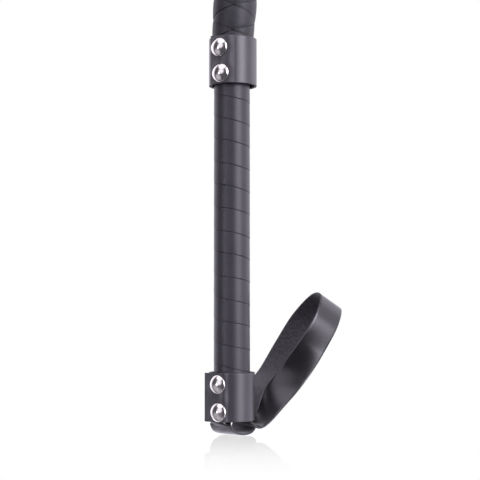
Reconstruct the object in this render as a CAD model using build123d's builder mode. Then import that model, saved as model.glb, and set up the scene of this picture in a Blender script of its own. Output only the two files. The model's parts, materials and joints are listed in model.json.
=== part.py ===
from build123d import *
import os
from math import acos, cos, degrees, radians, sin, tan

# Riding crop: a leather-wrapped wooden grip with a riveted cuff at each end, a wrist strap under the
# butt, a plaited tapered shaft over a glass-fibre rod, and a folded leather keeper on its tip.
# Millimetres. The origin is in the middle of the grip, +Z runs up the handle towards the tip, the
# rivet heads face -Y and the wrist loop stands out towards +X.
# An azimuth is counted from the front, -Y, towards +X.

# Driving dimensions
handle_length = 240
cuff_height = 30
dowel_diameter = 20
dowel_inset = 3
wrap_thickness = 1.3
layer_gap = 0.1

strap_width = 18
strap_thickness = 1.2
strap_tail = 25
front_leg_azimuth = -45
rear_leg_azimuth = 125

butt_cuff_leather = 1.6
top_cuff_leather = 1.5
tab_lap_angle = 30
tab_step_angle = 45
inner_lap_angle = 20
butt_tab_azimuth = -34
butt_tab_length = 9.3
top_tab_azimuth = -30
top_tab_length = 6.3

rivet_post_diameter = 3.5
rivet_head_diameter = 11.6
rivet_head_height = 3.0
head_rim = 0.3
rivet_hole_gap = 0.1
front_press = 0.3
back_press = 0.6
butt_rivets = [(6.0, -32), (23.0, -34)]
top_rivets = [(7.6, -31), (23.7, -28)]

shaft_offset = 0.6
shaft_lean = 3.9
strand_count = 4
strand_gap_angle = 3
strand_root_thickness = 1.4
strand_tail = 28
flex_height = 2
flex_gap = 0.4
flex_wedge_angle = 16
plait_length = 318
plait_root_radius = 13.0
plait_swell_radius = 13.6
plait_swell_height = 22
plait_tip_radius = 4.6
plait_root_cover = 2.4
plait_tip_cover = 1.6
rod_diameter = 5
rod_socket_depth = 45

whipping_start = 296
whipping_end = 336
whipping_thickness = 0.9
neck_width = 8
neck_clearance = 0.3
keeper_hinge = 340
keeper_hinge_gap = 0.4
keeper_thickness = 3.2
keeper_width = 28
keeper_shoulder = 22
keeper_length = 76
stitch_length = 3.0
stitch_pitch = 4.6
stitch_width = 0.8
stitch_height = 0.35
stitch_inset = 3.2

# Derived sizes
butt_edge = -handle_length / 2
top_edge = handle_length / 2
dowel_radius = dowel_diameter / 2
wrap_radius = dowel_radius + layer_gap + wrap_thickness
strap_inner = wrap_radius + layer_gap
strap_outer = strap_inner + strap_thickness
butt_cuff_inner = strap_outer + layer_gap
strand_inner = wrap_radius + layer_gap + shaft_offset
strand_outer = strand_inner + strand_root_thickness
top_cuff_inner = strand_outer + layer_gap
post_radius = rivet_post_diameter / 2
head_radius = rivet_head_diameter / 2
dome_rise = rivet_head_height - head_rim
dome_radius = (head_radius ** 2 + dome_rise ** 2) / (2 * dome_rise)
dome_start = degrees(acos(head_radius / dome_radius))
flex_point = top_edge + flex_height
stub_top = flex_point - flex_gap
rod_radius = rod_diameter / 2

lean_across = Vector(cos(radians(shaft_lean)), 0, -sin(radians(shaft_lean)))
lean_along = Vector(sin(radians(shaft_lean)), 0, cos(radians(shaft_lean)))
shaft_root = Vector(shaft_offset, 0, flex_point)
shaft_axis = Axis(shaft_root, lean_along)
shaft_profile_plane = Plane(origin=shaft_root, x_dir=lean_across, z_dir=(0, -1, 0))

os.makedirs("parts", exist_ok=True)


# Rivets: domed two-piece posts that pass right through the handle
def rivet_plane(height, azimuth, centre_x):
    """The plane across a rivet's axis, at the handle's centre, facing out through its head."""
    outward = (sin(radians(azimuth)), -cos(radians(azimuth)), 0)
    return Plane(origin=(centre_x, 0, height), x_dir=(0, 0, 1), z_dir=outward)


def drill_for(planes):
    """Cut the rivet holes through the piece that is being built."""
    with Locations(*planes):
        Cylinder(post_radius + rivet_hole_gap, 4 * dowel_diameter, mode=Mode.SUBTRACT)


def make_rivet_row(planes, front_seat, back_seat, with_posts):
    """Front heads on their posts, or the caps that close the posts at the back."""
    with BuildPart() as rivet_row:
        for plane in planes:
            if with_posts:
                with BuildSketch(plane.offset(-back_seat)):
                    Circle(post_radius)
                extrude(amount=back_seat + front_seat)
                cap = plane.offset(front_seat)
            else:
                cap = Plane(origin=plane.origin - plane.z_dir * back_seat, x_dir=plane.x_dir, z_dir=-plane.z_dir)
            with BuildSketch(Plane(origin=cap.origin, x_dir=cap.x_dir, z_dir=-cap.y_dir)):
                with BuildLine():
                    Polyline((0, rivet_head_height), (0, 0), (head_radius, 0), (head_radius, head_rim))
                    CenterArc((0, rivet_head_height - dome_radius), dome_radius, dome_start, 90 - dome_start)
                make_face()
            revolve(axis=Axis(cap.origin, cap.z_dir))
    return rivet_row


butt_planes = [rivet_plane(butt_edge + height, azimuth, 0) for height, azimuth in butt_rivets]
top_planes = [rivet_plane(top_edge - height, azimuth, shaft_offset) for height, azimuth in top_rivets]
butt_front_seat = butt_cuff_inner + 2 * butt_cuff_leather + layer_gap - front_press
butt_back_seat = butt_cuff_inner + butt_cuff_leather - back_press
top_front_seat = top_cuff_inner + 2 * top_cuff_leather + layer_gap - front_press
top_back_seat = top_cuff_inner + top_cuff_leather - back_press

butt_rivet_posts = make_rivet_row(butt_planes, butt_front_seat, butt_back_seat, True)
butt_rivet_posts.part.label = "butt_rivet_posts"
export_step(butt_rivet_posts.part, "parts/butt_rivet_posts.step")

butt_rivet_caps = make_rivet_row(butt_planes, butt_front_seat, butt_back_seat, False)
butt_rivet_caps.part.label = "butt_rivet_caps"
export_step(butt_rivet_caps.part, "parts/butt_rivet_caps.step")

top_rivet_posts = make_rivet_row(top_planes, top_front_seat, top_back_seat, True)
top_rivet_posts.part.label = "top_rivet_posts"
export_step(top_rivet_posts.part, "parts/top_rivet_posts.step")

top_rivet_caps = make_rivet_row(top_planes, top_front_seat, top_back_seat, False)
top_rivet_caps.part.label = "top_rivet_caps"
export_step(top_rivet_caps.part, "parts/top_rivet_caps.step")

# Grip core: a wooden dowel, bored at the top for the shaft's rod
with BuildPart() as grip_dowel:
    with BuildSketch(Plane.XY.offset(butt_edge + dowel_inset)):
        Circle(dowel_radius)
    extrude(amount=handle_length - dowel_inset + flex_height - flex_gap)
    chamfer(grip_dowel.faces().sort_by(Axis.Z)[0].edges(), 1)
    with BuildSketch(Plane.XY.offset(stub_top)):
        with Locations((shaft_offset, 0)):
            Circle(rod_radius + layer_gap)
    extrude(amount=-rod_socket_depth, mode=Mode.SUBTRACT)
    drill_for(butt_planes + top_planes)
grip_dowel.part.label = "grip_dowel"
export_step(grip_dowel.part, "parts/grip_dowel.step")

# The rod's lower end, glued into the dowel; it stops at the upper rivet
with BuildPart() as rod_root:
    with BuildSketch(Plane.XY.offset(stub_top)):
        with Locations((shaft_offset, 0)):
            Circle(rod_radius)
    extrude(amount=-rod_socket_depth)
    drill_for(top_planes)
rod_root.part.label = "rod_root"
export_step(rod_root.part, "parts/rod_root.step")

# Grip wrap: the leather strip wound round the dowel, as the sleeve that it makes
with BuildPart() as grip_wrap:
    with BuildSketch(Plane.XY.offset(butt_edge + 1)):
        Circle(wrap_radius)
        Circle(dowel_radius + layer_gap, mode=Mode.SUBTRACT)
    extrude(amount=handle_length - 2)
    drill_for(butt_planes + top_planes)
grip_wrap.part.label = "grip_wrap"
export_step(grip_wrap.part, "parts/grip_wrap.step")


# Cuffs: a leather strip wound once round the handle, its outer end a flat tab over its inner end
def make_cuff(centre_x, bottom, inner, leather, tab_azimuth, tab_length, planes, front_seat, back_seat):
    """Wind a strip from its flat tab, over its own inner end, once round the handle.

    The rivets press a shallow flat seat into the leather under each head and cap.
    """
    outward = (sin(radians(tab_azimuth)), -cos(radians(tab_azimuth)), 0)
    outer = inner + leather
    tab_inner = outer + layer_gap
    tab_outer = tab_inner + leather
    step_end = tab_lap_angle + tab_step_angle
    full_turn = 360 + inner_lap_angle - step_end

    def at(radius, angle):
        return (radius * cos(radians(angle)), radius * sin(radians(angle)))

    def heading(angle):
        return (-sin(radians(angle)), cos(radians(angle)))

    turn = [heading(tab_lap_angle), heading(step_end)]
    back_turn = [(-x, -y) for x, y in reversed(turn)]
    with BuildPart() as cuff:
        with BuildSketch(Plane(origin=(centre_x, 0, bottom), x_dir=outward, z_dir=(0, 0, 1))):
            with BuildLine():
                Line((tab_outer, -tab_length), (tab_outer, 0))
                CenterArc((0, 0), tab_outer, 0, tab_lap_angle)
                Spline(at(tab_outer, tab_lap_angle), at(outer, step_end), tangents=turn)
                CenterArc((0, 0), outer, step_end, full_turn)
                Line(at(outer, inner_lap_angle), at(inner, inner_lap_angle))
                CenterArc((0, 0), inner, inner_lap_angle, -full_turn)
                Spline(at(inner, step_end), at(tab_inner, tab_lap_angle), tangents=back_turn)
                CenterArc((0, 0), tab_inner, tab_lap_angle, -tab_lap_angle)
                Line((tab_inner, 0), (tab_inner, -tab_length))
                Line((tab_inner, -tab_length), (tab_outer, -tab_length))
            make_face()
        extrude(amount=cuff_height)
        for plane in planes:
            for side, seat in ((1, front_seat), (-1, back_seat)):
                with BuildSketch(plane.offset(side * seat)):
                    Circle(head_radius + rivet_hole_gap)
                extrude(amount=side * rivet_head_height, mode=Mode.SUBTRACT)
        drill_for(planes)
    return cuff


butt_cuff = make_cuff(
    0, butt_edge, butt_cuff_inner, butt_cuff_leather, butt_tab_azimuth, butt_tab_length,
    butt_planes, butt_front_seat, butt_back_seat,
)
butt_cuff.part.label = "butt_cuff"
export_step(butt_cuff.part, "parts/butt_cuff.step")

top_cuff = make_cuff(
    shaft_offset, top_edge - cuff_height, top_cuff_inner, top_cuff_leather, top_tab_azimuth, top_tab_length,
    top_planes, top_front_seat, top_back_seat,
)
top_cuff.part.label = "top_cuff"
export_step(top_cuff.part, "parts/top_cuff.step")

# Wrist strap: the middle line and the direction across the strap, from the front leg, in a U under
# the butt, up behind the handle, over the top of the loop, and down in front to a fold into the rear
# leg. Heights in these lists are from the butt edge, and the points are drawn for legs that lie at
# drawn_leg_radius: with other legs the fold under the butt widens and the loop moves out with it.
drawn_leg_radius = 12.7
fold_path = [
    (-8.6, -8.6, -0.3), (-8.2, -8.0, -4.2), (-5.6, -4.2, -7.0), (-1.0, 2.8, -7.8), (3.6, 9.9, -7.6), (6.4, 14.3, -5.6)
]
fold_across = [
    (0.70, -0.72, 0), (0.71, -0.71, 0), (0.75, -0.66, 0), (0.80, -0.60, 0), (0.83, -0.56, 0), (0.84, -0.55, 0)
]
loop_path = [
    (8.6, 17.6, 2.5), (14.8, 24.0, 17.7), (26.3, 35.7, 30.1), (37.0, 46.3, 44.1), (48.0, 51.0, 60.7),
    (59.7, 42.6, 73.8), (64.3, 30.0, 73.2), (61.1, 19.7, 62.3), (51.1, 16.2, 44.8), (39.6, 16.5, 28.1),
    (27.1, 13.2, 12.5), (17.6, 8.6, 1.2)
]
loop_across = [
    (0.80, -0.60, 0.0), (0.69, -0.73, 0.05), (0.76, -0.64, -0.09), (0.86, -0.30, -0.42), (0.82, 0.11, -0.56),
    (0.80, 0.32, -0.51), (0.76, 0.35, -0.55), (0.75, 0.39, -0.54), (0.76, 0.40, -0.51), (0.81, -0.17, -0.55),
    (0.72, -0.56, -0.42), (0.64, -0.74, -0.2)
]


leg_spread = strap_outer / drawn_leg_radius
fold_points = [Vector(x * leg_spread, y * leg_spread, z + butt_edge) for x, y, z in fold_path]
loop_shift = Vector(loop_path[0][0], loop_path[0][1], 0) * (leg_spread - 1)
loop_points = [Vector(x, y, z + butt_edge) + loop_shift for x, y, z in loop_path]


def make_strap(points, across, section_count):
    """A flat strap lofted through sections along its middle line, each turned by its width direction."""
    knots = [index / (len(points) - 1) for index in range(len(points))]
    middle = Edge.make_spline(points, parameters=knots)
    turning = Edge.make_spline([Vector(*direction) for direction in across], parameters=knots)
    with BuildPart() as strap:
        for index in range(section_count):
            share = index / (section_count - 1)
            width_direction = turning.position_at(share, PositionMode.PARAMETER).normalized()
            heading = middle.tangent_at(share, PositionMode.PARAMETER)
            face_direction = heading.cross(width_direction).normalized()
            section = Plane(
                origin=middle.position_at(share, PositionMode.PARAMETER),
                x_dir=width_direction,
                z_dir=width_direction.cross(face_direction),
            )
            with BuildSketch(section):
                Rectangle(strap_width, strap_thickness)
        loft(ruled=True)
    return strap


# The two strap ends lie round the wrap under the cuff, each with a short tail below the cuff
leg_half_angle = degrees(strap_width / 2 / (strap_inner + strap_thickness / 2))
with BuildPart() as wrist_strap_ends:
    for leg_azimuth, tail_below in ((front_leg_azimuth, 1), (rear_leg_azimuth, 1.5)):
        leg_start = leg_azimuth - leg_half_angle - 90
        leg_edges = [leg_start, leg_start + 2 * leg_half_angle]
        with BuildSketch(Plane.XY.offset(butt_edge - tail_below)):
            with BuildLine():
                CenterArc((0, 0), strap_outer, leg_start, 2 * leg_half_angle)
                CenterArc((0, 0), strap_inner, leg_start, 2 * leg_half_angle)
                for edge in leg_edges:
                    side = Vector(cos(radians(edge)), sin(radians(edge)))
                    Line(side * strap_inner, side * strap_outer)
            make_face()
        extrude(amount=strap_tail + tail_below)
    drill_for(butt_planes)
    add(make_strap(fold_points, fold_across, 16).part)
wrist_strap_ends.part.label = "wrist_strap_ends"
export_step(wrist_strap_ends.part, "parts/wrist_strap_ends.step")

wrist_loop = make_strap(loop_points, loop_across, 34)
wrist_loop.part.label = "wrist_loop"
export_step(wrist_loop.part, "parts/wrist_loop.step")


# Plait roots: the four strand ends that the top cuff clamps round the wrap
strand_sector = 360 / strand_count - strand_gap_angle


def strand_direction(number, across):
    """Where a strand's sector begins, counted round the shaft from its direction across."""
    angle = radians(45 + number * 360 / strand_count)
    return across * cos(angle) + Vector(0, 1, 0) * sin(angle)


for number in range(strand_count):
    strand_side = strand_direction(number, Vector(1, 0, 0))
    with BuildPart() as strand_root:
        with BuildSketch(Plane(origin=(shaft_offset, 0, 0), x_dir=strand_side, z_dir=strand_side.cross(Vector(0, 0, 1)))):
            with Locations((strand_inner + strand_root_thickness / 2, stub_top - strand_tail / 2)):
                Rectangle(strand_root_thickness, strand_tail)
        revolve(axis=Axis((shaft_offset, 0, 0), (0, 0, 1)), revolution_arc=strand_sector)
        drill_for(top_planes)
    strand_root.part.label = f"strand_root_{number + 1}"
    export_step(strand_root.part, f"parts/strand_root_{number + 1}.step")


# Shaft: rod, padding and plait, all turned about the leaning shaft axis
def plait_radius(height):
    """The plait's outer radius above its swell, at a height along the shaft."""
    share = (height - plait_swell_height) / (plait_length - plait_swell_height)
    return plait_swell_radius + share * (plait_tip_radius - plait_swell_radius)


def wedge(radius):
    """Height of the shaft's hollow foot, which leaves room for the shaft to bend at its root."""
    return flex_gap + radius * tan(radians(flex_wedge_angle))


padding_root = plait_root_radius - plait_root_cover
padding_swell = plait_swell_radius - plait_root_cover
padding_tip = plait_tip_radius - plait_tip_cover

with BuildPart() as shaft_rod:
    with BuildSketch(Plane(origin=shaft_root, x_dir=lean_across, z_dir=lean_along).offset(wedge(rod_radius))):
        Circle(rod_radius)
    extrude(amount=plait_length - wedge(rod_radius))
shaft_rod.part.label = "shaft_rod"
export_step(shaft_rod.part, "parts/shaft_rod.step")

with BuildPart() as shaft_padding:
    with BuildSketch(shaft_profile_plane):
        with BuildLine():
            Polyline(
                (rod_radius + layer_gap, wedge(rod_radius)),
                (padding_root, wedge(padding_root)),
                (padding_swell, plait_swell_height),
                (padding_tip, plait_length),
                (rod_radius + layer_gap, plait_length),
                close=True,
            )
        make_face()
    revolve(axis=shaft_axis)
shaft_padding.part.label = "shaft_padding"
export_step(shaft_padding.part, "parts/shaft_padding.step")

for number in range(strand_count):
    strand_side = strand_direction(number, lean_across)
    with BuildPart() as strand:
        with BuildSketch(Plane(origin=shaft_root, x_dir=strand_side, z_dir=strand_side.cross(lean_along))):
            with BuildLine():
                Polyline(
                    (padding_root + layer_gap, wedge(padding_root + layer_gap)),
                    (plait_root_radius, wedge(plait_root_radius)),
                    (plait_swell_radius, plait_swell_height),
                    (plait_tip_radius, plait_length),
                    (padding_tip + layer_gap, plait_length),
                    (padding_swell + layer_gap, plait_swell_height),
                    close=True,
                )
            make_face()
        revolve(axis=shaft_axis, revolution_arc=strand_sector)
    strand.part.label = f"strand_{number + 1}"
    export_step(strand.part, f"parts/strand_{number + 1}.step")

# Tip whipping: waxed thread wound over the plait's end and the keeper's neck
neck_reach = (neck_width ** 2 + keeper_thickness ** 2) ** 0.5 / 2 + layer_gap
with BuildPart() as tip_whipping:
    with BuildSketch(shaft_profile_plane):
        with BuildLine():
            Polyline(
                (plait_radius(whipping_start) + layer_gap, whipping_start),
                (plait_radius(whipping_start) + whipping_thickness, whipping_start),
                (plait_tip_radius + whipping_thickness, plait_length),
                (plait_tip_radius + whipping_thickness, whipping_end),
                (neck_reach, whipping_end),
                (neck_reach, plait_length + layer_gap),
                (plait_tip_radius + layer_gap, plait_length + layer_gap),
                close=True,
            )
        make_face()
    revolve(axis=shaft_axis)
tip_whipping.part.label = "tip_whipping"
export_step(tip_whipping.part, "parts/tip_whipping.step")

# Keeper neck: the keeper's two tails, bound under the whipping; it stops short of the keeper's hinge
neck_top = keeper_hinge - keeper_thickness / 2 - keeper_hinge_gap
with BuildPart() as keeper_neck:
    with BuildSketch(shaft_profile_plane):
        with Locations((0, (plait_length + neck_clearance + neck_top) / 2)):
            Rectangle(neck_width, neck_top - plait_length - neck_clearance)
    extrude(amount=keeper_thickness / 2, both=True)
keeper_neck.part.label = "keeper_neck"
export_step(keeper_neck.part, "parts/keeper_neck.step")

# Keeper: the folded leather flap, round-ended at its hinge line
keeper_end = keeper_hinge + keeper_length
with BuildPart() as keeper:
    with BuildSketch(shaft_profile_plane):
        with BuildLine():
            Polyline((-neck_width / 2, keeper_hinge), (neck_width / 2, keeper_hinge))
            Spline(
                (neck_width / 2, keeper_hinge),
                (keeper_width / 2, keeper_hinge + keeper_shoulder),
                tangents=[(0, 1), (0, 1)],
            )
            Polyline((keeper_width / 2, keeper_hinge + keeper_shoulder), (keeper_width / 2, keeper_end - 4))
            ThreePointArc(
                (keeper_width / 2, keeper_end - 4), (0, keeper_end), (-keeper_width / 2, keeper_end - 4)
            )
            Polyline((-keeper_width / 2, keeper_end - 4), (-keeper_width / 2, keeper_hinge + keeper_shoulder))
            Spline(
                (-keeper_width / 2, keeper_hinge + keeper_shoulder),
                (-neck_width / 2, keeper_hinge),
                tangents=[(0, -1), (0, -1)],
            )
        make_face()
    extrude(amount=keeper_thickness / 2, both=True)
    with BuildSketch(Plane(origin=shaft_root + lean_along * keeper_hinge, x_dir=(0, 1, 0), z_dir=lean_across)):
        Circle(keeper_thickness / 2)
    extrude(amount=neck_width / 2, both=True)
keeper.part.label = "keeper"
export_step(keeper.part, "parts/keeper.step")

# Keeper stitching: a row of stitches along each long edge, on both faces
stitch_rows = keeper_length - keeper_shoulder - 4
stitches_per_row = int(stitch_rows / stitch_pitch)
first_stitch = keeper_hinge + keeper_shoulder + (stitch_rows - (stitches_per_row - 1) * stitch_pitch) / 2
with BuildPart() as keeper_stitching:
    for face_side in (-1, 1):
        stitch_face = shaft_profile_plane.offset(face_side * keeper_thickness / 2)
        with BuildSketch(stitch_face):
            for edge_side in (-1, 1):
                for number in range(stitches_per_row):
                    across = edge_side * (keeper_width / 2 - stitch_inset)
                    with Locations((across, first_stitch + number * stitch_pitch)):
                        SlotOverall(stitch_length, stitch_width, rotation=90)
        extrude(amount=face_side * stitch_height)
keeper_stitching.part.label = "keeper_stitching"
export_step(keeper_stitching.part, "parts/keeper_stitching.step")
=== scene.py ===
import json
from math import asin, atan2, ceil, cos, exp, pi, radians, sin

import bpy
from mathutils import Matrix, Vector


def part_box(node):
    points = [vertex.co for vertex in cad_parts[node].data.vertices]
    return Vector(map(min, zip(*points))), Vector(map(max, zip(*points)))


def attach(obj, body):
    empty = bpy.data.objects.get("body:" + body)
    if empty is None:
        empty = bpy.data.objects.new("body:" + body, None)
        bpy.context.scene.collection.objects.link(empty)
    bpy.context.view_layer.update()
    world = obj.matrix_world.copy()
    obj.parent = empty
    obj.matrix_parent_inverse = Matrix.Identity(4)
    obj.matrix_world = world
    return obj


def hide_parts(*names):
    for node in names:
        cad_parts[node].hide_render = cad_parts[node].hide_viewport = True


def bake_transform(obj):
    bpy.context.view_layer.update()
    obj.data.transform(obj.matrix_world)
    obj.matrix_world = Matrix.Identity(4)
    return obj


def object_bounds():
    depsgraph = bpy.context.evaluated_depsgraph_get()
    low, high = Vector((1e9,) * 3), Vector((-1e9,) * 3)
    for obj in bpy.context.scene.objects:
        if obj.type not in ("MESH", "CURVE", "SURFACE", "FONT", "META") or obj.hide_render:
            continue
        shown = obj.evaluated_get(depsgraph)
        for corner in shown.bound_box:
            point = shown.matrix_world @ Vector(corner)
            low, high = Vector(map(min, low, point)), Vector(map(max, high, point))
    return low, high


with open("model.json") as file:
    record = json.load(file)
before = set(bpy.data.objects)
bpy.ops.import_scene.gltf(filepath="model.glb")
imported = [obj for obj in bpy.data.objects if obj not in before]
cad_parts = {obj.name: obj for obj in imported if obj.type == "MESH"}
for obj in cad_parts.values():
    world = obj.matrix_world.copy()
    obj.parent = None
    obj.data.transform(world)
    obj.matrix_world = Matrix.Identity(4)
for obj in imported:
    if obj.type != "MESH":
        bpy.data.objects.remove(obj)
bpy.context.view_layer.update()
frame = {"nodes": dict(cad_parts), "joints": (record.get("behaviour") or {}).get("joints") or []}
MM = 0.001
bpy.ops.object.select_all(action="DESELECT")

# Grip wrap. One strip of smooth black leather is wound round the dowel, each turn butted against
# the next, with its lower edge standing a little proud of the turn below. Both ends run on under
# the cuffs.
butt_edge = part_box("butt_cuff")[0].z
top_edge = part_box("top_cuff")[1].z
cuff_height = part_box("butt_cuff")[1].z - butt_edge
dowel_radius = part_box("grip_dowel")[1].y
wrap_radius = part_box("grip_wrap")[1].y
wrap_bottom, wrap_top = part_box("grip_wrap")[0].z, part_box("grip_wrap")[1].z
wrap_pitch = 14.1 * MM
wrap_lap = 0.10 * MM
wrap_seam = 0.26 * MM
wrap_steps = 96


def select_only(piece):
    """Make this the one selected and active object, as every operator expects."""
    bpy.ops.object.select_all(action="DESELECT")
    piece.select_set(True)
    bpy.context.view_layer.objects.active = piece


def apply_modifiers(piece):
    """Fix every modifier on the piece into its mesh, in their order."""
    select_only(piece)
    for modifier in list(piece.modifiers):
        bpy.ops.object.modifier_apply(modifier=modifier.name)


def round_edges(piece, width, segments=3, angle=40):
    """Soften the cut edges of the piece."""
    bevel = piece.modifiers.new("edges", "BEVEL")
    bevel.width, bevel.segments = width, segments
    bevel.limit_method, bevel.angle_limit = "ANGLE", radians(angle)
    bevel.harden_normals = False
    apply_modifiers(piece)


def make_normals_outward(piece):
    """Merge doubled points and turn every face outwards."""
    select_only(piece)
    bpy.ops.object.mode_set(mode="EDIT")
    bpy.ops.mesh.select_all(action="SELECT")
    bpy.ops.mesh.remove_doubles(threshold=0.002 * MM)
    bpy.ops.mesh.normals_make_consistent(inside=False)
    bpy.ops.object.mode_set(mode="OBJECT")


def smooth_shade(piece, angle=35):
    select_only(piece)
    bpy.ops.object.shade_smooth_by_angle(angle=radians(angle))


def new_material(name):
    """An empty node material, with its nodes, links and shader."""
    material = bpy.data.materials.new(name)
    material.use_nodes = True
    nodes, links = material.node_tree.nodes, material.node_tree.links
    return material, nodes, links, nodes["Principled BSDF"]


def two_shades(nodes, links, shader, source, dark, light):
    """Colour the shader from dark to light by the source, and return the ramp."""
    ramp = nodes.new("ShaderNodeValToRGB")
    ramp.color_ramp.elements[0].color = (*dark, 1)
    ramp.color_ramp.elements[1].color = (*light, 1)
    links.new(source, ramp.inputs["Fac"])
    links.new(ramp.outputs["Color"], shader.inputs["Base Color"])
    return ramp


def raise_surface(nodes, links, shader, source, depth):
    """Give the shader a relief from the source, and return the bump."""
    bump = nodes.new("ShaderNodeBump")
    bump.inputs["Distance"].default_value = depth
    links.new(source, bump.inputs["Height"])
    links.new(bump.outputs["Normal"], shader.inputs["Normal"])
    return bump


def speckled(name, scale, dark, light, roughness, depth=0.0):
    """A matt finish of two shades mixed by a fine noise, with relief if a depth is given."""
    material, nodes, links, shader = new_material(name)
    place = nodes.new("ShaderNodeTexCoord")
    specks = nodes.new("ShaderNodeTexNoise")
    specks.inputs["Scale"].default_value = scale
    links.new(place.outputs["Object"], specks.inputs["Vector"])
    two_shades(nodes, links, shader, specks.outputs["Fac"], dark, light)
    if depth:
        raise_surface(nodes, links, shader, specks.outputs["Fac"], depth)
    shader.inputs["Roughness"].default_value = roughness
    return material


def placed_copy(piece, transform):
    """A copy of the piece with its mesh moved by the transform."""
    copy = piece.copy()
    copy.data = piece.data.copy()
    bpy.context.collection.objects.link(copy)
    copy.data.transform(transform)
    return copy


def join_pieces(pieces, name):
    """Join the pieces into the first of them, and name it."""
    select_only(pieces[0])
    for piece in pieces:
        piece.select_set(True)
    bpy.ops.object.join()
    pieces[0].name = name
    return pieces[0]


def leather(
    name, shade, roughness, grain_size, grain_depth, coordinates="Object", crease_depth=0.0,
):
    """Smooth dyed leather: a fine pebble grain, faint stretch lines, uneven dye and polish."""
    material, nodes, links, shader = new_material(name)
    place = nodes.new("ShaderNodeTexCoord")
    grain = nodes.new("ShaderNodeTexVoronoi")
    grain.feature = "SMOOTH_F1"
    grain.inputs["Scale"].default_value = 1 / grain_size
    grain.inputs["Smoothness"].default_value = 0.6
    links.new(place.outputs[coordinates], grain.inputs["Vector"])
    pores = nodes.new("ShaderNodeTexNoise")
    pores.inputs["Scale"].default_value = 2.6 / grain_size
    pores.inputs["Detail"].default_value = 3
    links.new(place.outputs[coordinates], pores.inputs["Vector"])
    cloud = nodes.new("ShaderNodeTexNoise")
    cloud.inputs["Scale"].default_value = 55
    cloud.inputs["Detail"].default_value = 4
    links.new(place.outputs[coordinates], cloud.inputs["Vector"])
    relief = nodes.new("ShaderNodeMix")
    relief.inputs["Factor"].default_value = 0.45
    links.new(grain.outputs["Distance"], relief.inputs["A"])
    links.new(pores.outputs["Fac"], relief.inputs["B"])
    bump = nodes.new("ShaderNodeBump")
    bump.inputs["Strength"].default_value = 0.75
    bump.inputs["Distance"].default_value = grain_depth
    links.new(relief.outputs["Result"], bump.inputs["Height"])
    creases = nodes.new("ShaderNodeBump")
    creases.inputs["Strength"].default_value = 0.6
    creases.inputs["Distance"].default_value = crease_depth
    links.new(cloud.outputs["Fac"], creases.inputs["Height"])
    links.new(bump.outputs["Normal"], creases.inputs["Normal"])
    links.new(creases.outputs["Normal"], shader.inputs["Normal"])
    dark, light = [0.86 * c for c in shade], [1.2 * c for c in shade]
    dye = two_shades(nodes, links, shader, cloud.outputs["Fac"], dark, light)
    dye.color_ramp.elements[0].position, dye.color_ramp.elements[1].position = 0.3, 0.7
    polish = nodes.new("ShaderNodeMapRange")
    polish.inputs["To Min"].default_value = roughness - 0.05
    polish.inputs["To Max"].default_value = roughness + 0.06
    links.new(pores.outputs["Fac"], polish.inputs["Value"])
    links.new(polish.outputs["Result"], shader.inputs["Roughness"])
    return material


# A winding section: a flat leather strip stood on edge beside the axis, then turned round it
turns = ceil((wrap_top - wrap_bottom) / wrap_pitch) + 1
bpy.ops.mesh.primitive_plane_add(size=1, location=(0, 0, 0))
grip_wrap = bpy.context.object
grip_wrap.name = "grip_wrap_strip"
bpy.ops.object.mode_set(mode="EDIT")
bpy.ops.mesh.subdivide(number_cuts=9)
bpy.ops.object.mode_set(mode="OBJECT")
inner_radius = dowel_radius + 0.12 * MM
rows_up = (0, 0.007, 0.016, 0.03, 0.2, 0.5, 0.8, 0.97, 0.984, 0.993, 1)
for point in grip_wrap.data.vertices:
    across, up = point.co.x + 0.5, rows_up[int(round((point.co.y + 0.5) * 10))]
    edge_drop = wrap_seam * max(0.0, (0.018 - min(up, 1 - up)) / 0.018) ** 2
    outer = wrap_radius - wrap_lap * up - edge_drop
    level = wrap_bottom - wrap_pitch + up * (wrap_pitch - 0.02 * MM)
    point.co = Vector((inner_radius + across * (outer - inner_radius), 0, level))
select_only(grip_wrap)
bpy.ops.object.mode_set(mode="EDIT")
bpy.ops.mesh.select_all(action="SELECT")
bpy.ops.mesh.dissolve_faces()
bpy.ops.mesh.delete(type="ONLY_FACE")
bpy.ops.object.mode_set(mode="OBJECT")
winding = grip_wrap.modifiers.new("winding", "SCREW")
winding.axis = "Z"
winding.angle = -2 * pi
winding.screw_offset = wrap_pitch
winding.iterations = turns + 1
winding.steps = winding.render_steps = wrap_steps
winding.use_merge_vertices = False
apply_modifiers(grip_wrap)
make_normals_outward(grip_wrap)
for point in grip_wrap.data.vertices:
    around, level = atan2(point.co.y, point.co.x), point.co.z
    point.co.z += 0.34 * MM * sin(level * 170 + around) + 0.22 * MM * sin(level * 410 - 2 * around)
for level, outside in ((wrap_bottom, (0, 0, -1)), (wrap_top, (0, 0, 1))):
    select_only(grip_wrap)
    bpy.ops.object.mode_set(mode="EDIT")
    bpy.ops.mesh.select_all(action="SELECT")
    bpy.ops.mesh.bisect(plane_co=(0, 0, level), plane_no=outside, clear_outer=True, use_fill=True)
    bpy.ops.object.mode_set(mode="OBJECT")
smooth_shade(grip_wrap, 40)
grip_leather = leather(
    "grip_leather", (0.030, 0.028, 0.034), 0.40, 0.6 * MM, 0.08 * MM, crease_depth=0.10 * MM,
)
grip_wrap.data.materials.append(grip_leather)
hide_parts("grip_wrap")
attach(grip_wrap, "handle")

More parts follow.
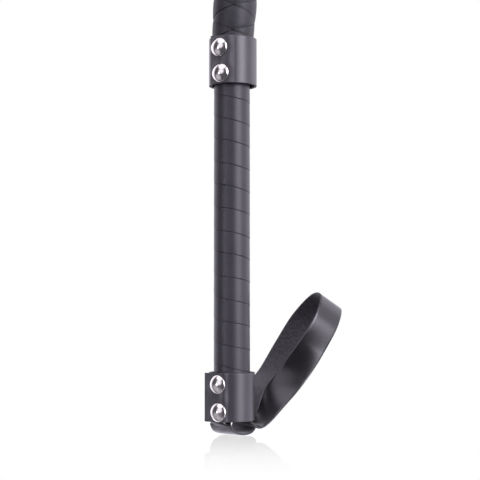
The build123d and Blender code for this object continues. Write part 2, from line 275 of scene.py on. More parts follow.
# Dowel. A plain turned wooden rod, bored at the top for the glass-fibre rod that stiffens the
# shaft. Its sawn end is under the butt.
wood, nodes, links, shader = new_material("beech")
place = nodes.new("ShaderNodeTexCoord")
rings = nodes.new("ShaderNodeTexWave")
rings.wave_type, rings.bands_direction, rings.rings_direction = "RINGS", "X", "Z"
rings.inputs["Scale"].default_value = 160
rings.inputs["Distortion"].default_value = 2.5
rings.inputs["Detail"].default_value = 3
centre = nodes.new("ShaderNodeMapping")
centre.inputs["Location"].default_value = (0.012, 0.009, 0)
centre.inputs["Scale"].default_value = (1, 1, 0.05)
links.new(place.outputs["Object"], centre.inputs["Vector"])
links.new(centre.outputs["Vector"], rings.inputs["Vector"])
two_shades(nodes, links, shader, rings.outputs["Fac"], (0.38, 0.22, 0.11), (0.60, 0.42, 0.25))
raise_surface(nodes, links, shader, rings.outputs["Fac"], 0.08 * MM)
shader.inputs["Roughness"].default_value = 0.6


def repaint(node, material):
    """Give a CAD node, which stays as it is, its finish."""
    mesh = frame["nodes"][node].data
    mesh.materials.clear()
    mesh.materials.append(material)


repaint("grip_dowel", wood)

# Rod. Pultruded glass fibre, one length from the dowel to the tip, hidden by padding and plait.
glass_fibre, nodes, links, shader = new_material("glass_fibre")
place = nodes.new("ShaderNodeTexCoord")
strands = nodes.new("ShaderNodeTexNoise")
strands.inputs["Scale"].default_value = 900
along = nodes.new("ShaderNodeMapping")
along.inputs["Scale"].default_value = (1, 1, 0.02)
links.new(place.outputs["Object"], along.inputs["Vector"])
links.new(along.outputs["Vector"], strands.inputs["Vector"])
two_shades(nodes, links, shader, strands.outputs["Fac"], (0.55, 0.50, 0.38), (0.74, 0.71, 0.60))
shader.inputs["Roughness"].default_value = 0.35
repaint("rod_root", glass_fibre)
repaint("shaft_rod", glass_fibre)

# Padding. Cotton cord wound on the rod to give the shaft its taper, hidden by the plait.
cotton, nodes, links, shader = new_material("wound_cotton")
place = nodes.new("ShaderNodeTexCoord")
wound = nodes.new("ShaderNodeTexWave")
wound.wave_type, wound.bands_direction = "BANDS", "Z"
wound.inputs["Scale"].default_value = 500
links.new(place.outputs["Object"], wound.inputs["Vector"])
two_shades(nodes, links, shader, wound.outputs["Fac"], (0.02, 0.02, 0.02), (0.06, 0.055, 0.055))
raise_surface(nodes, links, shader, wound.outputs["Fac"], 0.3 * MM)
shader.inputs["Roughness"].default_value = 0.9
repaint("shaft_padding", cotton)

# Cuffs. Each is a strip of the same leather cut square, wound once round the handle over the ends
# that it holds, and lapped: its outer end lies flat as a tab over its inner end, under the rivets.
cuff_material = leather(
    "cuff_leather", (0.030, 0.028, 0.034), 0.36, 0.6 * MM, 0.07 * MM, crease_depth=0.08 * MM,
)
cuff_shader = cuff_material.node_tree.nodes["Principled BSDF"]
cuff_shader.inputs["Specular IOR Level"].default_value = 0.75
cut_edge = speckled(
    "cuff_cut_edge", 2600, (0.018, 0.017, 0.019), (0.06, 0.056, 0.06), 0.8, 0.05 * MM,
)


def flat_sheet(name, along_cuts, across_cuts, place_point):
    """A grid laid where place_point(u, v) says, u along and v across it, both from 0 to 1."""
    bpy.ops.object.select_all(action="DESELECT")
    bpy.ops.mesh.primitive_grid_add(x_subdivisions=along_cuts, y_subdivisions=across_cuts, size=1)
    sheet = bpy.context.object
    sheet.name = name
    for point in sheet.data.vertices:
        point.co = place_point(point.co.x + 0.5, point.co.y + 0.5)
    return sheet


def thicken(sheet, thickness, outer, inner, edge, offset=-1.0, even=True):
    """Give a sheet its thickness, with a finish for its face, its back and its cut edges."""
    for material in (outer, inner, edge):
        sheet.data.materials.append(material)
    wall = sheet.modifiers.new("leather", "SOLIDIFY")
    wall.thickness, wall.offset = thickness, offset
    wall.use_even_offset = even
    wall.material_offset, wall.material_offset_rim = 1, 2
    apply_modifiers(sheet)


def make_cuff(
    name, node, centre_x, bottom, outer_radius, thickness, tab_azimuth, tab_length, lap, step,
    rivets,
):
    """Wind the strip: a flat tab, a lap, a step down, then once round and under the tab."""
    lap, step, inner_lap = radians(lap), radians(step), radians(20)
    lap_rise = thickness + 0.1 * MM
    tab_radius = outer_radius + lap_rise
    turn = 2 * pi + inner_lap
    strip = tab_length + tab_radius * lap + outer_radius * (turn - lap)
    outward = Vector((sin(radians(tab_azimuth)), -cos(radians(tab_azimuth)), 0))
    onward = Vector((0, 0, 1)).cross(outward)
    tab_share = tab_length / strip

    def place_point(u, v):
        height = bottom + v * cuff_height
        if u < tab_share:
            curl = 0.35 * MM * (1 - u / tab_share) ** 2
            spot = outward * (tab_radius + curl) + onward * (u * strip - tab_length)
            angle = -atan2(tab_length - u * strip, tab_radius)
        else:
            angle = (u - tab_share) / (1 - tab_share) * turn
            ease = min(max((angle - lap) / step, 0), 1)
            radius = tab_radius - lap_rise * ease * ease * (3 - 2 * ease)
            spot = outward * (radius * cos(angle)) + onward * (radius * sin(angle))
        normal = spot.normalized()
        for rivet_height, rivet_azimuth in rivets:
            for seat_angle, depth in ((0, 0.35), (pi, 0.8)):
                around = angle - radians(rivet_azimuth - tab_azimuth) - seat_angle
                around = (around + pi) % (2 * pi) - pi
                if seat_angle == 0 and angle > pi:
                    continue
                reach = ((around * tab_radius) ** 2 + (height - rivet_height) ** 2) ** 0.5
                spot = spot - normal * (depth * exp(-(reach / (6.6 * MM)) ** 4) * MM)
        return Vector((centre_x, 0, 0)) + spot + Vector((0, 0, height))

    cuff = flat_sheet(name, 220, 44, place_point)
    make_normals_outward(cuff)
    thicken(cuff, thickness, cuff_material, cuff_material, cut_edge)
    round_edges(cuff, 0.32 * MM)
    smooth_shade(cuff)
    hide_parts(node)
    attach(cuff, "handle")
    return cuff


shaft_offset = 0.6 * MM
butt_rivets = [(butt_edge + 6.0 * MM, -32), (butt_edge + 23.0 * MM, -34)]
top_rivets = [(top_edge - 7.6 * MM, -31), (top_edge - 23.7 * MM, -28)]
butt_cuff = make_cuff(
    "butt_cuff_leather", "butt_cuff", 0, butt_edge, 14.4 * MM, 1.6 * MM, -34, 9.3 * MM,
    11, 18, butt_rivets,
)
top_cuff = make_cuff(
    "top_cuff_leather", "top_cuff", shaft_offset, top_edge - cuff_height, 15.1 * MM, 1.5 * MM,
    -30, 6.3 * MM, 6, 30, top_rivets,
)

# Rivets. Two-piece nickel-plated caps, pressed together through the handle: a domed head on a post
# in front, and a matching cap that closes the post at the back.
nickel, nodes, links, shader = new_material("nickel_plate")
shader.inputs["Metallic"].default_value = 1.0
place = nodes.new("ShaderNodeTexCoord")
haze = nodes.new("ShaderNodeTexNoise")
haze.inputs["Scale"].default_value = 420
haze.inputs["Detail"].default_value = 5
links.new(place.outputs["Object"], haze.inputs["Vector"])
haze_range = nodes.new("ShaderNodeMapRange")
haze_range.inputs["To Min"].default_value = 0.05
haze_range.inputs["To Max"].default_value = 0.13
links.new(haze.outputs["Fac"], haze_range.inputs["Value"])
links.new(haze_range.outputs["Result"], shader.inputs["Roughness"])
two_shades(nodes, links, shader, haze.outputs["Fac"], (0.72, 0.69, 0.66), (0.88, 0.85, 0.81))

rivet_radius, rivet_rise, post_radius = 5.8 * MM, 3.0 * MM, 1.75 * MM


def make_cap(name, post_length):
    """Spin a domed cap with a rolled rim, and the post behind it, about Z."""
    rim_height = 0.45 * MM
    dome_rise = rivet_rise - rim_height
    dome = (rivet_radius ** 2 + dome_rise ** 2) / (2 * dome_rise)
    rim_tilt = asin((rivet_radius - 0.06 * MM) / dome)
    outline = [(0, rivet_rise)]
    for step in range(1, 17):
        tilt = step / 16 * rim_tilt
        outline.append((dome * sin(tilt), rivet_rise - dome * (1 - cos(tilt))))
    outline += [
        (rivet_radius, rim_height - 0.08 * MM), (rivet_radius, 0.2 * MM),
        (rivet_radius - 0.3 * MM, 0), (post_radius, 0),
        (post_radius, -post_length), (0, -post_length),
    ]
    mesh = bpy.data.meshes.new(name)
    edges = [(i, i + 1) for i in range(len(outline) - 1)]
    mesh.from_pydata([(x, 0, z) for x, z in outline], edges, [])
    cap = bpy.data.objects.new(name, mesh)
    bpy.context.collection.objects.link(cap)
    select_only(cap)
    bpy.ops.object.mode_set(mode="EDIT")
    bpy.ops.mesh.select_all(action="SELECT")
    bpy.ops.mesh.spin(steps=48, angle=2 * pi, center=(0, 0, 0), axis=(0, 0, 1))
    bpy.ops.object.mode_set(mode="OBJECT")
    make_normals_outward(cap)
    return cap


def set_rivets(name, node, rivets, centre_x, seat, post_length, side):
    """Copy a cap to each rivet's place, and join the copies into one piece."""
    first = make_cap(name, post_length)
    copies = []
    for height, azimuth in rivets:
        outward = Vector((sin(radians(azimuth)), -cos(radians(azimuth)), 0)) * side
        turned = Vector((0, 0, 1)).rotation_difference(outward).to_matrix().to_4x4()
        spot = Vector((centre_x, 0, height)) + outward * seat
        copies.append(placed_copy(first, Matrix.Translation(spot) @ turned))
    bpy.data.objects.remove(first)
    row = join_pieces(copies, name)
    smooth_shade(row, 50)
    row.data.materials.append(nickel)
    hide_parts(node)
    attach(row, "handle")
    return row


set_rivets("butt_rivet_heads", "butt_rivet_posts", butt_rivets, 0, 15.85 * MM, 30 * MM, 1)
set_rivets("butt_rivet_backs", "butt_rivet_caps", butt_rivets, 0, 13.9 * MM, 0.4 * MM, -1)
set_rivets("top_rivet_heads", "top_rivet_posts", top_rivets, shaft_offset, 16.45 * MM, 31 * MM, 1)
set_rivets("top_rivet_backs", "top_rivet_caps", top_rivets, shaft_offset, 14.5 * MM, 0.4 * MM, -1)

# Plait. Four wide flat strands, two winding each way, pass over one and under one round the padded
# rod. They narrow with the taper. Their tails lie straight down the grip's end, under the top cuff.
plait_material = leather("plait_leather", (0.020, 0.019, 0.023), 0.50, 0.5 * MM, 0.03 * MM, "UV")
# Painted shade: the strand edges are near black, in place of the shadow lines between the crossing
# strands.
strand_edge = speckled(
    "painted_shade_strand_edge", 1200, (0.002, 0.002, 0.002), (0.010, 0.009, 0.010), 0.9,
)
strand_edge_shader = strand_edge.node_tree.nodes["Principled BSDF"]
strand_edge_shader.inputs["Specular IOR Level"].default_value = 0.15
flex_height = top_edge + 2 * MM
shaft_lean = radians(3.9)
shaft_root = Vector((shaft_offset, 0, flex_height))
lean_across = Vector((cos(shaft_lean), 0, -sin(shaft_lean)))
lean_along = Vector((sin(shaft_lean), 0, cos(shaft_lean)))
plait_length = 318 * MM
tail_foot = -29.5 * MM
braid_foot = -11.5 * MM
root_radius, swell_radius, tip_radius = 13.2 * MM, 13.9 * MM, 4.6 * MM
swell_height = 22 * MM
strand_thickness, plait_swing = 1.0 * MM, 0.46 * MM
root_lead = 30.6 * MM


def plait_radius(height):
    """Outer radius of the plait at a height along the shaft from its flex point."""
    if height < 0:
        return root_radius
    if height < swell_height:
        return root_radius + (swell_radius - root_radius) * sin(height / swell_height * pi / 2)
    share = (height - swell_height) / (plait_length - swell_height)
    return swell_radius + share * (tip_radius - swell_radius)


def shaft_point(height, radius, angle):
    """A point round the shaft: upright inside the cuff, then along the leaning shaft axis."""
    sideways, depth = radius * cos(angle), radius * sin(angle)
    if height < 0:
        return Vector((shaft_offset + sideways, depth, flex_height + height))
    return shaft_root + lean_along * height + lean_across * sideways + Vector((0, depth, 0))


plait_rows, plait_turns = [tail_foot], [pi / 4]
while plait_rows[-1] < plait_length:
    height = plait_rows[-1]
    lead = root_lead * (plait_radius(height) / root_radius) ** 0.8
    started = min(max((height - braid_foot) / (3 * MM), 0), 1)
    row_step = lead / 110 if height > braid_foot - 1 * MM else 1.2 * MM
    plait_turns.append(plait_turns[-1] + 2 * pi * started * row_step / lead)
    plait_rows.append(height + row_step)
plait_rows[-1] = plait_length
strand_cuts = 12


def make_strand(number, way, start_angle):
    """One strand: a band round the shaft, over and under the two that wind the other way."""
    def place_point(u, v):
        row = min(int(round(u * (len(plait_rows) - 1))), len(plait_rows) - 1)
        height, turned = plait_rows[row], plait_turns[row]
        opened = min(max((height - braid_foot + 2 * MM) / (5 * MM), 0), 1)
        share = max(height, 0) / plait_length
        across = 2 * v - 1
        angle = start_angle + way * turned + (0.23 + 0.245 * opened) * pi * across
        crossing = cos(angle + way * turned)
        over = way * (1 if start_angle < 1 else -1) * (1 if crossing > 0 else -1)
        weave = over * abs(crossing) ** 0.35
        swing = plait_swing * (1 - 0.35 * share) * opened
        crown = 0.16 * MM * (1 - across * across)
        radius = plait_radius(height) - 0.16 * MM - swing + weave * swing + crown
        if height < 0:
            radius = min(radius, 13.5 * MM)
        return shaft_point(height, radius, angle)

    rows = len(plait_rows) - 1
    strand = flat_sheet(f"plait_strand_{number + 1}", rows, strand_cuts, place_point)
    uv = strand.data.uv_layers.active
    for loop in strand.data.loops:
        u, v = uv.data[loop.index].uv
        row = min(int(round(u * rows)), rows)
        uv.data[loop.index].uv = (plait_rows[row] * 2.2, v * plait_radius(plait_rows[row]) * 2.6)
    make_normals_outward(strand)
    middle_face = strand.data.polygons[len(strand.data.polygons) // 2]
    axis_point = shaft_root + lean_along * (middle_face.center - shaft_root).dot(lean_along)
    if middle_face.normal.dot(middle_face.center - axis_point) < 0:
        strand.data.flip_normals()
    # The cut edges take the near-black painted shade.
    thicken(strand, strand_thickness, plait_material, plait_material, strand_edge, even=False)
    round_edges(strand, 0.12 * MM, 2)
    smooth_shade(strand)
    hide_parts(f"strand_{number + 1}", f"strand_root_{number + 1}")
    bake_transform(strand)
    return strand


for number, (way, half_turns) in enumerate(((1, 0), (1, 1), (-1, 0), (-1, 1))):
    make_strand(number, way, half_turns * pi)

# Tip whipping. Waxed black thread wound tight over the end of the plait and the keeper's neck, its
# turns side by side, finished with a pull-through so that no knot shows.
thread_material = speckled(
    "waxed_thread", 2400, (0.010, 0.010, 0.011), (0.035, 0.034, 0.037), 0.55, 0.06 * MM,
)
whipping_foot, whipping_top = 296 * MM, 336 * MM
thread_turn = 0.95 * MM
whipping_rows = int((whipping_top - whipping_foot) / thread_turn * 6)


def whipping_point(u, v):
    angle = 2 * pi * v
    height = whipping_foot + u * (whipping_top - whipping_foot)
    wound = abs(sin(pi * (height / thread_turn - v)))
    base = max(plait_radius(min(height, plait_length)), tip_radius) + 0.45 * MM
    if height > plait_length:
        base -= (height - plait_length) / (whipping_top - plait_length) * 0.5 * MM
    end_turn = min(u, 1 - u) * whipping_rows / 3
    radius = base + 0.42 * MM * wound * min(1, end_turn)
    if end_turn < 0.5:
        radius -= (0.5 - end_turn) * 1.2 * MM
    return shaft_point(height, radius, angle)


whipping = flat_sheet("whipping_thread", whipping_rows, 64, whipping_point)
make_normals_outward(whipping)
select_only(whipping)
bpy.ops.object.mode_set(mode="EDIT")
bpy.ops.mesh.select_all(action="DESELECT")
bpy.ops.mesh.select_non_manifold()
bpy.ops.mesh.edge_face_add()
bpy.ops.object.mode_set(mode="OBJECT")
make_normals_outward(whipping)
smooth_shade(whipping, 60)
whipping.data.materials.append(thread_material)
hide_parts("tip_whipping")
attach(whipping, "shaft")

# Keeper. A strip of leather folded back on itself at the far end, cut to a neck that is bound
# under the whipping, and stitched down both edges.
keeper_material = leather(
    "keeper_leather", (0.024, 0.023, 0.027), 0.44, 0.55 * MM, 0.03 * MM, crease_depth=0.15 * MM,
)
keeper_foot = 318.6 * MM
keeper_hinge = 340 * MM
keeper_end = keeper_hinge + 75.6 * MM
neck_half, keeper_half = 3.9 * MM, 13.8 * MM
shoulder = keeper_hinge + 22 * MM
leaf_thickness = 1.45 * MM


def keeper_half_width(height):
    """Half the keeper's width: the neck, a curved shoulder, the blade, and its rounded end."""
    if height < keeper_hinge:
        return neck_half
    if height < shoulder:
        ease = (height - keeper_hinge) / (shoulder - keeper_hinge)
        return neck_half + (keeper_half - neck_half) * ease * ease * (3 - 2 * ease)
    return keeper_half


def make_leaf(name, side):
    """One leaf of the folded keeper, from the neck to the fold."""
    def place_point(u, v):
        height = keeper_foot + u * (keeper_end - keeper_foot)
        half = keeper_half_width(height)
        corner = max(0.0, height - (keeper_end - 5 * MM)) / (5 * MM)
        half -= 1.6 * MM * corner ** 3
        across = 2 * v - 1
        blade = min(max((height - keeper_hinge) / (14 * MM), 0), 1)
        pinch = 0.12 * MM * max(0.0, abs(across) - 0.72) / 0.28 * blade
        puff = 0.14 * MM * blade * (1 - across * across)
        end_bow = -3.2 * MM * across * across * max(0.0, (u - 0.9) / 0.1) ** 1.5
        depth = side * (0.04 * MM + puff - pinch * 0.2)
        along, aside = lean_along * (height + end_bow), lean_across * (half * across)
        return shaft_root + along + aside + Vector((0, depth, 0))

    return flat_sheet(name, 96, 26, place_point)


blade_face = 1200
leaves = []
for name, side in (("keeper_front", -1), ("keeper_back", 1)):
    leaf = make_leaf(name, side)
    make_normals_outward(leaf)
    if leaf.data.polygons[blade_face].normal.y * side < 0:
        leaf.data.flip_normals()
    thicken(leaf, leaf_thickness, keeper_material, keeper_material, cut_edge, offset=1.0)
    round_edges(leaf, 0.3 * MM)
    leaves.append(leaf)
keeper = join_pieces(leaves, "keeper_leather")
smooth_shade(keeper)
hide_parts("keeper", "keeper_neck")
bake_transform(keeper)

# Keeper stitching. Waxed thread: short stitches set into the leather down both edges of the blade,
# showing on both faces.
stitch_pitch, stitch_length, stitch_radius = 4.6 * MM, 3.4 * MM, 0.42 * MM
stitch_aside, stitch_depth = 10.8 * MM, 1.55 * MM
stitch_foot = shoulder + 3 * MM
stitches_in_row = int((keeper_end - 6 * MM - stitch_foot) / stitch_pitch)
bpy.ops.mesh.primitive_uv_sphere_add(segments=10, ring_count=8, radius=stitch_radius)
stitch = bpy.context.object
for point in stitch.data.vertices:
    if abs(point.co.z) > 1e-6:
        point.co.z += (1 if point.co.z > 0 else -1) * (stitch_length / 2 - stitch_radius)
lean_turn = Matrix.Rotation(shaft_lean, 4, "Y")
stitch_copies = []
for side in (-1, 1):
    for edge in (-1, 1):
        for count in range(stitches_in_row):
            along = lean_along * (stitch_foot + count * stitch_pitch)
            spot = shaft_root + along + lean_across * (edge * stitch_aside)
            spot += Vector((0, side * stitch_depth, 0))
            stitch_copies.append(placed_copy(stitch, Matrix.Translation(spot) @ lean_turn))
bpy.data.objects.remove(stitch)
stitching = join_pieces(stitch_copies, "keeper_thread")
smooth_shade(stitching, 60)
stitching.data.materials.append(thread_material)
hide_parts("keeper_stitching")
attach(stitching, "keeper_flap")

# Wrist strap. One long strap of the same leather, glazed outside and rough on the flesh side, its
# cut edges left pale. Both ends are held under the butt cuff. From the front end it turns under the
# butt, rises behind the handle, bows over at the top, and comes down to a tight fold into the rear
# end.
strap_outer = leather(
    "strap_face", (0.0055, 0.005, 0.006), 0.24, 0.4 * MM, 0.03 * MM, crease_depth=0.10 * MM,
)
strap_shader = strap_outer.node_tree.nodes["Principled BSDF"]
strap_shader.inputs["Specular IOR Level"].default_value = 0.85
strap_flesh, nodes, links, shader = new_material("strap_flesh_side")
place = nodes.new("ShaderNodeTexCoord")
nap = nodes.new("ShaderNodeTexNoise")
nap.inputs["Scale"].default_value = 1500
nap.inputs["Detail"].default_value = 6
nap.inputs["Roughness"].default_value = 0.75
links.new(place.outputs["Object"], nap.inputs["Vector"])
patches = nodes.new("ShaderNodeTexNoise")
patches.inputs["Scale"].default_value = 620
patches.inputs["Detail"].default_value = 3
links.new(place.outputs["Object"], patches.inputs["Vector"])
nap_mix = nodes.new("ShaderNodeMix")
nap_mix.inputs["Factor"].default_value = 0.5
links.new(nap.outputs["Fac"], nap_mix.inputs["A"])
links.new(patches.outputs["Fac"], nap_mix.inputs["B"])
flesh_colour = two_shades(
    nodes, links, shader, nap_mix.outputs["Result"], (0.028, 0.026, 0.030), (0.075, 0.070, 0.079),
)
flesh_colour.color_ramp.elements[0].position = 0.38
flesh_colour.color_ramp.elements[1].position = 0.62
flesh_bump = raise_surface(nodes, links, shader, nap_mix.outputs["Result"], 0.12 * MM)
flesh_bump.inputs["Strength"].default_value = 0.8
shader.inputs["Roughness"].default_value = 0.92
shader.inputs["Sheen Weight"].default_value = 0.25
pale_edge = speckled(
    "strap_cut_edge", 1500, (0.030, 0.029, 0.032), (0.10, 0.098, 0.104), 0.8,
)

strap_half, strap_thickness = 9 * MM, 1.2 * MM
leg_radius = 12.1 * MM
strap_tail = 24 * MM
front_leg, rear_leg = radians(-45), radians(125)
# Middle line and width direction of the free part, in millimetres from the butt edge
strap_route = [
    ((-7.3, -8.6, -0.4), (0.71, -0.70, 0)), ((-6.7, -7.9, -2.4), (0.72, -0.69, 0)),
    ((-5.0, -5.0, -5.9), (0.74, -0.67, 0)), ((-2.0, -1.0, -7.8), (0.76, -0.65, 0)),
    ((1.7, 5.4, -8.7), (0.80, -0.60, 0)), ((5.4, 11.0, -7.9), (0.83, -0.56, 0)),
    ((7.7, 15.2, -4.9), (0.84, -0.55, 0)),
    ((8.6, 17.6, 2.5), (0.80, -0.60, 0)), ((14.8, 24.0, 17.7), (0.69, -0.73, 0.05)),
    ((26.3, 35.7, 30.1), (0.76, -0.64, -0.09)), ((37.0, 46.3, 44.1), (0.86, -0.30, -0.42)),
    ((48.0, 51.0, 60.7), (0.82, 0.11, -0.56)), ((59.7, 42.6, 73.8), (0.80, 0.32, -0.51)),
    ((64.3, 30.0, 73.2), (0.76, 0.35, -0.55)), ((61.1, 19.7, 62.3), (0.75, 0.39, -0.54)),
    ((51.1, 16.2, 44.8), (0.76, 0.34, -0.55)), ((39.6, 16.5, 28.1), (0.80, -0.10, -0.58)),
    ((27.1, 13.0, 12.5), (0.73, -0.52, -0.44)), ((17.6, 8.9, 0.4), (0.66, -0.72, -0.22)),
    ((13.4, 7.4, -3.3), (0.62, -0.77, -0.13)), ((10.6, 6.7, -3.7), (0.59, -0.80, -0.10)),
    ((8.8, 6.1, -2.1), (0.577, -0.817, -0.02)), ((8.2, 5.7, -0.3), (0.574, -0.819, 0)),
]


def through(points, share):
    """A smooth line (Catmull-Rom, centripetal knots) through points, at a share of its knots."""
    knots = [0.0]
    for a, b in zip(points, points[1:]):
        knots.append(knots[-1] + max((b - a).length, 1e-6) ** 0.5)
    want = share * knots[-1]
    span = max(i for i in range(len(points) - 1) if knots[i] <= want + 1e-12)
    p1, p2 = points[span], points[span + 1]
    p0 = points[span - 1] if span else p1 * 2 - p2
    p3 = points[span + 2] if span + 2 < len(points) else p2 * 2 - p1
    t0 = knots[span - 1] if span else knots[0] - (knots[1] - knots[0])
    t1, t2 = knots[span], knots[span + 1]
    t3 = knots[span + 2] if span + 2 < len(points) else t2 + (t2 - t1)
    a1 = p0 * ((t1 - want) / (t1 - t0)) + p1 * ((want - t0) / (t1 - t0))
    a2 = p1 * ((t2 - want) / (t2 - t1)) + p2 * ((want - t1) / (t2 - t1))
    a3 = p2 * ((t3 - want) / (t3 - t2)) + p3 * ((want - t2) / (t3 - t2))
    b1 = a1 * ((t2 - want) / (t2 - t0)) + a2 * ((want - t0) / (t2 - t0))
    b2 = a2 * ((t3 - want) / (t3 - t1)) + a3 * ((want - t1) / (t3 - t1))
    return b1 * ((t2 - want) / (t2 - t1)) + b2 * ((want - t1) / (t2 - t1))


free_samples = 420
route_points = [Vector(spot) * MM for spot, across in strap_route]
route_across = [Vector(across).normalized() for spot, across in strap_route]
free_line = [through(route_points, count / free_samples) for count in range(free_samples + 1)]
route_knots = [0.0]
for a, b in zip(route_points, route_points[1:]):
    route_knots.append(route_knots[-1] + (b - a).length ** 0.5)


def across_at(share):
    """The width direction at the same share of the route as its middle line."""
    want = share * route_knots[-1]
    span = max(i for i in range(len(route_knots) - 1) if route_knots[i] <= want + 1e-12)
    ease = (want - route_knots[span]) / (route_knots[span + 1] - route_knots[span])
    before = route_across[max(span - 1, 0)]
    after = route_across[min(span + 2, len(route_across) - 1)]
    here, there = route_across[span], route_across[span + 1]
    slope_here, slope_there = (there - before) / 2, (after - here) / 2
    mixed = (
        here * (2 * ease ** 3 - 3 * ease ** 2 + 1) + slope_here * (ease ** 3 - 2 * ease ** 2 + ease)
        + there * (-2 * ease ** 3 + 3 * ease ** 2) + slope_there * (ease ** 3 - ease ** 2)
    )
    return mixed.normalized()


free_across = [across_at(count / free_samples) for count in range(free_samples + 1)]
# The width direction is averaged over its neighbours, so that the strap twists evenly
for _ in range(3):
    free_across = [
        sum(free_across[max(0, i - 9):i + 10], Vector((0, 0, 0))).normalized()
        for i in range(free_samples + 1)
    ]
tail_rows = 24
hold_length, route_length = 7 * MM, 300 * MM


def strap_point(u, v):
    """A point on the strap: front end round the wrap, free loop, rear end round the wrap."""
    row = u * (free_samples + 2 * tail_rows)
    offset = (2 * v - 1) * strap_half
    if row < tail_rows or row > free_samples + tail_rows:
        leg, sense = (front_leg, 1) if row < tail_rows else (rear_leg, -1)
        rows_in = tail_rows - row if row < tail_rows else row - free_samples - tail_rows
        inside = rows_in / tail_rows
        angle = leg + sense * offset / leg_radius
        curved = Vector((leg_radius * sin(angle), -leg_radius * cos(angle), 0))
        return curved + Vector((0, 0, butt_edge + 0.2 * MM + inside * strap_tail))
    share = (row - tail_rows) / free_samples
    station = min(int(round(row - tail_rows)), free_samples)
    flat = free_line[station] + free_across[station] * offset + Vector((0, 0, butt_edge))
    end_distance = min(share, 1 - share) * route_length
    ease = max(0.0, 1 - end_distance / hold_length)
    hold = ease * ease * (3 - 2 * ease)
    if hold > 0:
        leg, sense = (front_leg, 1) if share < 0.5 else (rear_leg, -1)
        angle = leg + sense * offset / leg_radius
        curved = Vector((leg_radius * sin(angle), -leg_radius * cos(angle), flat.z))
        flat = flat.lerp(curved, hold)
    return flat


wrist_strap = flat_sheet("wrist_strap_leather", free_samples + 2 * tail_rows, 14, strap_point)
make_normals_outward(wrist_strap)
front_spot = Vector((-8.6 * MM, -8.6 * MM, butt_edge + 10 * MM))
probe = min(wrist_strap.data.polygons, key=lambda face: (face.center - front_spot).length)
if probe.normal.dot(Vector((-1, -1, 0))) < 0:
    wrist_strap.data.flip_normals()
thicken(wrist_strap, strap_thickness, strap_outer, strap_flesh, pale_edge, offset=0.0)
round_edges(wrist_strap, 0.14 * MM, 2)
smooth_shade(wrist_strap)
swing = next(joint for joint in frame["joints"] if joint["name"] == "wrist_loop_swing")
swing_point = Vector(swing["pos_m"])
swing_axis = Vector(swing["axis"]).normalized()
outward = Vector((0, 0, 1)).cross(swing_axis)
outward = outward if outward.x > 0 else -outward
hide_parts("wrist_strap_ends", "wrist_loop")
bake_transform(wrist_strap)

# Studio. A clear glossy sheet under the butt, a white background, broad soft lights in front to the
# right, a narrow bright one in front to the left, and weaker ones behind, above and below.
floor_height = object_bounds()[0].z - 0.4 * MM
sheet_radius, fade_radius = 0.22, 0.19
bpy.ops.mesh.primitive_circle_add(
    vertices=96, radius=sheet_radius, fill_type="NGON", location=(0, 0, floor_height),
)
table = bpy.context.object
table.name = "table"
clear_sheet, nodes, links, shader = new_material("clear_sheet")
nodes.remove(shader)
clear = nodes.new("ShaderNodeBsdfTransparent")
gloss = nodes.new("ShaderNodeBsdfGlossy")
gloss.inputs["Roughness"].default_value = 0.05
place = nodes.new("ShaderNodeTexCoord")
reach = nodes.new("ShaderNodeMapping")
reach.inputs["Scale"].default_value = (1 / fade_radius, 1 / fade_radius, 0)
links.new(place.outputs["Object"], reach.inputs["Vector"])
fade = nodes.new("ShaderNodeTexGradient")
fade.gradient_type = "QUADRATIC_SPHERE"
links.new(reach.outputs["Vector"], fade.inputs["Vector"])
polish = nodes.new("ShaderNodeMapRange")
polish.inputs["To Max"].default_value = 0.36
links.new(fade.outputs["Fac"], polish.inputs["Value"])
mix = nodes.new("ShaderNodeMixShader")
links.new(polish.outputs["Result"], mix.inputs["Fac"])
links.new(clear.outputs["BSDF"], mix.inputs[1])
links.new(gloss.outputs["BSDF"], mix.inputs[2])
links.new(mix.outputs["Shader"], nodes["Material Output"].inputs["Surface"])
table.data.materials.append(clear_sheet)

world = bpy.data.worlds.new("studio")
bpy.context.scene.world = world
world.use_nodes = True
nodes, links = world.node_tree.nodes, world.node_tree.links
room = nodes["Background"]
direction = nodes.new("ShaderNodeTexCoord")
room_light = 0.10
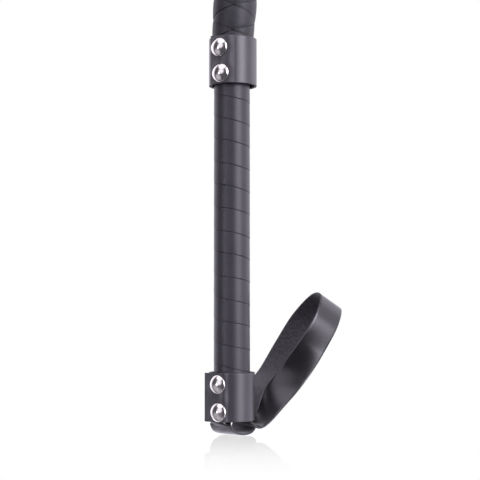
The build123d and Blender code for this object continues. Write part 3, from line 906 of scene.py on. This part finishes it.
# Each patch of light: the way to it (right, back, up), its inner and outer half-width in degrees,
# and its brightness
patches_of_light = [
    ((0.66, -0.72, 0.14), 8, 24, 5.2), ((0.60, -0.66, 0.52), 10, 26, 3.2),
    ((0.97, -0.10, 0.20), 10, 50, 1.1), ((0, 1, 0.1), 62, 88, 1.3),
    ((-0.74, -0.66, 0.0), 4, 7, 9.0), ((-0.2, -0.35, 0.92), 16, 36, 1.5),
    ((-0.446, -0.84, 0.31), 2, 32, 1.1), ((-0.80, -0.35, -0.50), 10, 34, 0.45),
]
total = None
for way, inner, outer, brightness in patches_of_light:
    along = nodes.new("ShaderNodeVectorMath")
    along.operation = "DOT_PRODUCT"
    along.inputs[1].default_value = Vector(way).normalized()
    links.new(direction.outputs["Generated"], along.inputs[0])
    patch = nodes.new("ShaderNodeMapRange")
    patch.interpolation_type = "SMOOTHSTEP"
    patch.inputs["From Min"].default_value = cos(radians(outer))
    patch.inputs["From Max"].default_value = cos(radians(inner))
    patch.inputs["To Max"].default_value = brightness
    links.new(along.outputs["Value"], patch.inputs["Value"])
    adding = nodes.new("ShaderNodeMath")
    adding.operation = "ADD"
    links.new(patch.outputs["Result"], adding.inputs[0])
    adding.inputs[1].default_value = room_light
    if total:
        links.new(total.outputs["Value"], adding.inputs[1])
    total = adding
links.new(total.outputs["Value"], room.inputs["Strength"])
room.inputs["Color"].default_value = (1.0, 0.955, 1.09, 1)
backdrop = nodes.new("ShaderNodeBackground")
backdrop.inputs["Color"].default_value = (1, 1, 1, 1)
which = nodes.new("ShaderNodeMixShader")
ray = nodes.new("ShaderNodeLightPath")
links.new(ray.outputs["Is Camera Ray"], which.inputs["Fac"])
links.new(room.outputs["Background"], which.inputs[1])
links.new(backdrop.outputs["Background"], which.inputs[2])
links.new(which.outputs["Shader"], nodes["World Output"].inputs["Surface"])
bpy.context.scene.view_settings.view_transform = "Standard"

# Camera, level with the lower part of the handle and tipped up a little
camera_data = bpy.data.cameras.new("camera")
camera_data.sensor_width, camera_data.lens = 36, 92.4
camera = bpy.data.objects.new("camera", camera_data)
bpy.context.collection.objects.link(camera)
camera_aside, camera_distance, camera_rise, camera_tip = 5.1 * MM, 775 * MM, 76.8 * MM, 2.66
camera.location = (camera_aside, -camera_distance, butt_edge + camera_rise)
camera.rotation_euler = (radians(90 + camera_tip), 0, 0)
bpy.context.scene.camera = camera
